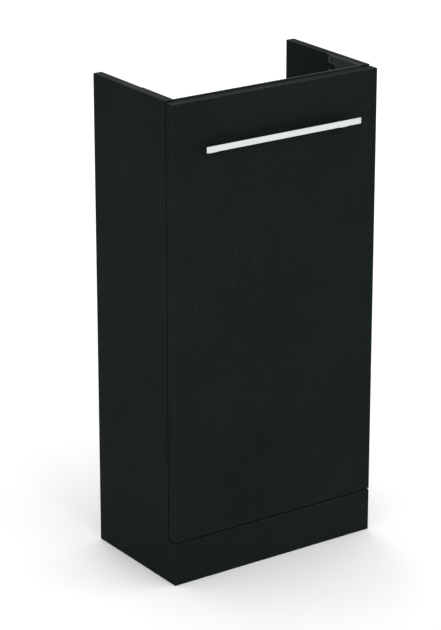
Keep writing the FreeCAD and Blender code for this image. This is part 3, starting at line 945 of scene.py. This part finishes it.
def gather(name: str, meshes: Sequence[bpy.types.Mesh], smooth_deg: float) -> bpy.types.Object:
    """Join placed meshes into one object with smooth faces and crisp edges.

    Args:
        name: the new piece's name.
        meshes: meshes already in the frame.
        smooth_deg: faces that meet at less than this angle are shaded smooth.

    Returns:
        The new object, linked to the scene.
    """
    shape = bmesh.new()
    for mesh in meshes:
        shape.from_mesh(mesh)
    for face in shape.faces:
        face.smooth = True
    for edge in shape.edges:
        edge.smooth = edge.is_manifold and edge.calc_face_angle(0.0) < math.radians(smooth_deg)
    mesh = bpy.data.meshes.new(name)
    shape.to_mesh(mesh)
    shape.free()
    piece = bpy.data.objects.new(name, mesh)
    bpy.context.scene.collection.objects.link(piece)
    return piece


@dataclass
class FineSet:
    """Finer pieces that stand where the separate solids of one CAD node are, in its stead."""

    node: str
    body: str
    slot: str

    def put_in_place(
        self, ending: str, meshes: Sequence[bpy.types.Mesh], finish: Finish, smooth_deg: float = 35.0
    ) -> bpy.types.Object:
        """Join the set, dress it and put it in the CAD node's stead.

        Args:
            ending: how the pieces are made, which ends the set's name.
            meshes: its pieces, already in the frame.
            finish: what they are dressed in.
            smooth_deg: faces that meet at less than this angle are shaded smooth.

        Returns:
            The set as one object.
        """
        piece = gather(f"{self.node}_{ending}", meshes, smooth_deg)
        piece.data.materials.append(finish.material())
        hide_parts(self.node)
        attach(piece, self.body)
        log.info("built %s: %d pieces", piece.name, len(meshes))
        return piece


@dataclass
class ScrewSet(FineSet):
    """All the screws of one CAD node, with domed heads, a cross recess and rolled thread.

    Lengths and places are read from the CAD solids; the fields are in millimetres, or shares.
    """

    finish: Metal
    head_height: float = 1.8
    head_rim: float = 0.15
    head_rim_share: float = 0.94
    crown_flat_share: float = 0.35
    crown_steps: int = 6
    shank_radius: float = 1.9
    thread_pitch: float = 1.2
    thread_depth: float = 0.35
    tip_share: float = 0.6
    recess_reach: float = 2.1
    recess_width: float = 0.8
    recess_depth: float = 1.2

    def profile(self, length: float, head_radius: float) -> list[tuple[float, float]]:
        """The half outline from the tip to the top of the head.

        Args:
            length: overall length in metres.
            head_radius: in metres.

        Returns:
            (radius, height) points in metres.
        """
        shank = self.shank_radius * MM
        core = shank - self.thread_depth * MM
        pitch = self.thread_pitch * MM
        head_low = length - self.head_height * MM
        rim_top = head_low + self.head_rim * MM
        outline = [(0.0, 0.0), (core * self.tip_share, pitch * TIP_RISE), (core, pitch)]
        for turn in range(int((head_low - PLAIN_PITCHES * pitch) / pitch)):
            base = pitch * (turn + 1)
            outline.append((shank, base + pitch * CREST_START))
            outline.append((shank, base + pitch * CREST_END))
            outline.append((core, base + pitch * ROOT_START))
        outline += [(core, head_low - pitch), (shank, head_low - pitch * SHOULDER_DROP), (shank, head_low)]
        outline += [(head_radius * self.head_rim_share, head_low), (head_radius, rim_top)]
        for step in range(1, self.crown_steps + 1):
            angle = math.pi / 2 * step / self.crown_steps
            share = self.crown_flat_share + (1 - self.crown_flat_share) * math.cos(angle)
            outline.append((head_radius * share, rim_top + (length - rim_top) * math.sin(angle)))
        outline.append((0.0, length))
        return outline

    def build(self) -> bpy.types.Object:
        """Make every screw of the node.

        Returns:
            The screws as one object.
        """
        meshes = []
        for slug in separate_solids(self.node):
            across = (slug.axis.value + 1) % len(Axis)
            head_radius = (slug.high[across] - slug.low[across]) / 2
            recess = cross_cutter(slug.length, self.recess_reach, self.recess_width, self.recess_depth)
            mesh = cut_away(turned(self.profile(slug.length, head_radius)), recess)
            mesh.transform(slug.stand_along())
            meshes.append(mesh)
        return self.put_in_place("turned", meshes, self.finish)


@dataclass
class CamSet(FineSet):
    """The die-cast cam locks, each with a chamfered face, a cross slot and the socket for its bolt.

    Places are read from the CAD solids; the fields are in millimetres.
    """

    node: str = "cam_locks"
    body: str = "carcass"
    slot: str = "cam_zinc"
    chamfer: float = 0.5
    slot_reach: float = 5.2
    slot_width: float = 1.4
    slot_depth: float = 2.2
    socket_radius: float = 3.1
    # The socket starts this far before the cam's middle, so that it ends beyond it.
    socket_start: float = 1.0

    def socket(self, slug: Slug) -> bpy.types.Mesh:
        """The cutter for a cam's bolt socket, which opens towards its side panel.

        Args:
            slug: the cam's CAD solid.

        Returns:
            A round bar in the frame.
        """
        radius = self.socket_radius * MM
        reach = slug.high.x - slug.low.x
        outward = 1.0 if slug.middle.x > 0 else -1.0
        start = slug.middle - Vector((outward * self.socket_start * MM, 0.0, 0.0))
        turn = Vector((0.0, 0.0, 1.0)).rotation_difference(Vector((outward, 0.0, 0.0)))
        bar = turned([(0.0, 0.0), (radius, 0.0), (radius, reach), (0.0, reach)])
        bar.transform(Matrix.Translation(start) @ turn.to_matrix().to_4x4())
        return bar

    def build(self) -> bpy.types.Object:
        """Make every cam.

        Returns:
            The cams as one object.
        """
        meshes = []
        for found in separate_solids(self.node, shortest=True):
            slug = Slug(found.low, found.high, found.axis, -1)
            radius = (slug.high.x - slug.low.x) / 2
            face = radius - self.chamfer * MM
            side_top = slug.length - self.chamfer * MM
            outline = [(0.0, 0.0), (radius, 0.0), (radius, side_top), (face, slug.length), (0.0, slug.length)]
            cross = cross_cutter(slug.length, self.slot_reach, self.slot_width, self.slot_depth)
            mesh = cut_away(turned(outline, steps=WIDE_ROUND_STEPS), cross)
            mesh.transform(slug.stand_along())
            meshes.append(cut_away(mesh, self.socket(slug)))
        return self.put_in_place("cast", meshes, DIE_CAST_ZINC)


@dataclass
class PadSet(FineSet):
    """The self-adhesive pads that the door closes on: low domes with a flat foot.

    Places are read from the CAD solids; foot_height is in millimetres.
    """

    node: str = "door_bumpers"
    body: str = "door"
    slot: str = "bumper_plastic"
    foot_height: float = 0.5
    crown_flat_share: float = 0.25
    crown_steps: int = 10
    dome_smooth_deg: float = 50.0

    def build(self) -> bpy.types.Object:
        """Make every pad.

        Returns:
            The pads as one object.
        """
        meshes = []
        for found in separate_solids(self.node, shortest=True):
            slug = Slug(found.low, found.high, found.axis, 1)
            radius = (slug.high.x - slug.low.x) / 2
            foot = self.foot_height * MM
            flat = radius * self.crown_flat_share
            outline = [(0.0, 0.0), (radius, 0.0), (radius, foot)]
            for step in range(1, self.crown_steps + 1):
                angle = math.pi / 2 * step / self.crown_steps
                across = flat + (radius - flat) * math.cos(angle)
                outline.append((across, foot + (slug.length - foot) * math.sin(angle)))
            outline.append((0.0, slug.length))
            mesh = turned(outline, steps=WIDE_ROUND_STEPS)
            mesh.transform(slug.stand_along())
            meshes.append(mesh)
        return self.put_in_place("domed", meshes, SoftUrethane(), self.dome_smooth_deg)


@dataclass
class Boards:
    """The foil-faced boards of the cabinet and its door."""

    names: tuple[str, ...] = (
        "left_side_panel",
        "right_side_panel",
        "bottom_panel",
        "upper_back_rail",
        "lower_back_rail",
        "plinth_board",
        "shelf",
        "door_panel",
    )
    rounding: float = 0.5

    def build(self) -> None:
        """Dress each board in foil made for its own box."""
        for name in self.names:
            low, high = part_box(name)
            finish = MattFoilBoard(f"matt_foil_{name}", tuple(low), tuple(high))
            dress(name, finish.material(), self.rounding)


@dataclass
class Metalwork:
    """The pull, the bent strap, the hinges and the other fittings that keep their CAD shape."""

    pull: str = "door_handle"
    strap: str = "front_rail"
    hinge_pieces: tuple[str, ...] = (
        "upper_hinge_cup",
        "lower_hinge_cup",
        "upper_hinge_arm",
        "lower_hinge_arm",
        "upper_hinge_plate",
        "lower_hinge_plate",
        "hinge_pins",
    )
    zinc_pieces: tuple[str, ...] = ("cam_bolts", "shelf_pins")
    pull_rounding: float = 0.35
    sheet_rounding: float = 0.2

    def build(self) -> None:
        """Dress each piece in its metal."""
        dress(self.pull, ANODISED_ALUMINIUM.material(), self.pull_rounding, segments=3)
        dress(self.strap, POWDER_COATED_STEEL.material(), self.sheet_rounding)
        nickel = NICKEL_PLATED_STEEL.material()
        for name in self.hinge_pieces:
            dress(name, nickel, self.sheet_rounding)
        zinc = ZINC_PLATED_STEEL.material()
        for name in self.zinc_pieces:
            dress(name, zinc, self.sheet_rounding)


@dataclass
class Fixings:
    """Screws, cams, dowels and pads."""

    dowel_nodes: tuple[str, ...] = ("board_dowels", "plinth_dowels")
    dowel_rounding: float = 0.4
    screws: list[ScrewSet] = field(
        default_factory=lambda: [
            ScrewSet("front_rail_screws", "carcass", "black_screw", BLACKENED_STEEL),
            ScrewSet("hinge_plate_screws", "carcass", "zinc_screw", ZINC_PLATED_STEEL),
            ScrewSet("hinge_clamp_screws", "carcass", "zinc_screw", ZINC_PLATED_STEEL, thread_pitch=0.8),
            ScrewSet("hinge_cup_screws", "door", "zinc_screw", ZINC_PLATED_STEEL),
            ScrewSet(
                "handle_screws", "door", "zinc_screw", ZINC_PLATED_STEEL, shank_radius=1.5, thread_pitch=0.7
            ),
        ]
    )

    def build(self) -> None:
        """Build the screws, cams and pads, and dress the dowels."""
        for screw_set in self.screws:
            screw_set.build()
        CamSet().build()
        beech = TurnedBeech().material()
        for name in self.dowel_nodes:
            dress(name, beech, self.dowel_rounding)
        PadSet().build()


@dataclass(frozen=True)
class SoftLight:
    """A square soft light: where it stands and how wide it is, in metres, and its power in watts."""

    name: str
    place: tuple[float, float, float]
    side: float
    power: float

    def build(self, aim: Vector) -> None:
        """Make the light.

        Args:
            aim: the point that it faces, in metres.
        """
        data = bpy.data.lights.new(self.name, "AREA")
        data.size = self.side
        data.energy = self.power
        lamp = bpy.data.objects.new(self.name, data)
        lamp.location = self.place
        lamp.rotation_euler = (aim - Vector(self.place)).to_track_quat("-Z", "Y").to_euler()
        bpy.context.scene.collection.objects.link(lamp)


@dataclass
class Studio:
    """A pale floor, even white surroundings and large soft lights. Sizes and places are in metres."""

    floor_radius: float = 14.0
    floor_sides: int = 96
    # Just under the cabinet, so that their faces don't lie in one plane
    floor_drop: float = 0.0005
    white: tuple[float, float, float, float] = (1.0, 1.0, 1.0, 1.0)
    brightness: float = 1.0
    lit_point: tuple[float, float, float] = (0.0, 0.0, 0.45)
    lights: tuple[SoftLight, ...] = (
        SoftLight("key_light", (0.0, -3.5, 2.3), side=2.2, power=38.0),
        SoftLight("fill_light", (3.0, -2.4, 2.0), side=2.4, power=18.0),
        SoftLight("back_light", (0.8, 3.3, 2.2), side=2.4, power=26.0),
    )

    def build(self) -> None:
        """Make the floor, the surroundings and the lights."""
        self.floor()
        self.surroundings()
        for light in self.lights:
            light.build(Vector(self.lit_point))

    def floor(self) -> None:
        """A wide round floor just under the object."""
        shape = bmesh.new()
        bmesh.ops.create_circle(shape, cap_ends=True, radius=self.floor_radius, segments=self.floor_sides)
        mesh = bpy.data.meshes.new("studio_floor")
        shape.to_mesh(mesh)
        shape.free()
        floor = bpy.data.objects.new("studio_floor", mesh)
        floor.location.z = -self.floor_drop
        bpy.context.scene.collection.objects.link(floor)
        mesh.materials.append(StudioFloor().material())

    def surroundings(self) -> None:
        """The even white that stands behind the object and lights it from all round."""
        world = bpy.data.worlds.new("studio")
        bpy.context.scene.world = world
        world.use_nodes = True
        tree = world.node_tree
        tree.nodes.clear()
        values = {"Color": self.white, "Strength": self.brightness}
        light = add_node(tree, "ShaderNodeBackground", values=values)
        add_node(tree, "ShaderNodeOutputWorld", links={"Surface": light.outputs["Background"]})


@dataclass
class ViewCamera:
    """A long-lens camera that looks down on the cabinet from its front left. Distances are in metres."""

    azimuth_deg: float = 34.80
    elevation_deg: float = 19.90
    distance: float = 4.54
    aim: tuple[float, float, float] = (0.0143, 0.0755, 0.3770)
    sensor_mm: float = 36.0
    lens_mm: float = 153.4
    sees_to: float = 100.0

    def build(self) -> bpy.types.Object:
        """Make the camera and make it the scene's own.

        Returns:
            The camera.
        """
        azimuth = math.radians(self.azimuth_deg)
        elevation = math.radians(self.elevation_deg)
        look = Vector(
            (
                math.sin(azimuth) * math.cos(elevation),
                math.cos(azimuth) * math.cos(elevation),
                -math.sin(elevation),
            )
        )
        data = bpy.data.cameras.new("view_camera")
        data.sensor_fit = "VERTICAL"
        data.sensor_height = self.sensor_mm
        data.lens = self.lens_mm
        data.clip_end = self.sees_to
        camera = bpy.data.objects.new("view_camera", data)
        camera.location = Vector(self.aim) - look * self.distance
        camera.rotation_euler = look.to_track_quat("-Z", "Y").to_euler()
        bpy.context.scene.collection.objects.link(camera)
        bpy.context.scene.camera = camera
        return camera


def main() -> None:
    """Build the camera, the pieces in order, and the studio."""
    bpy.context.scene.view_settings.view_transform = "Standard"
    ViewCamera().build()
    for assembly in (Boards(), Metalwork(), Fixings()):
        assembly.build()
        log.info("%s done", type(assembly).__name__)
    Studio().build()


if __name__ == "__main__":
    main()
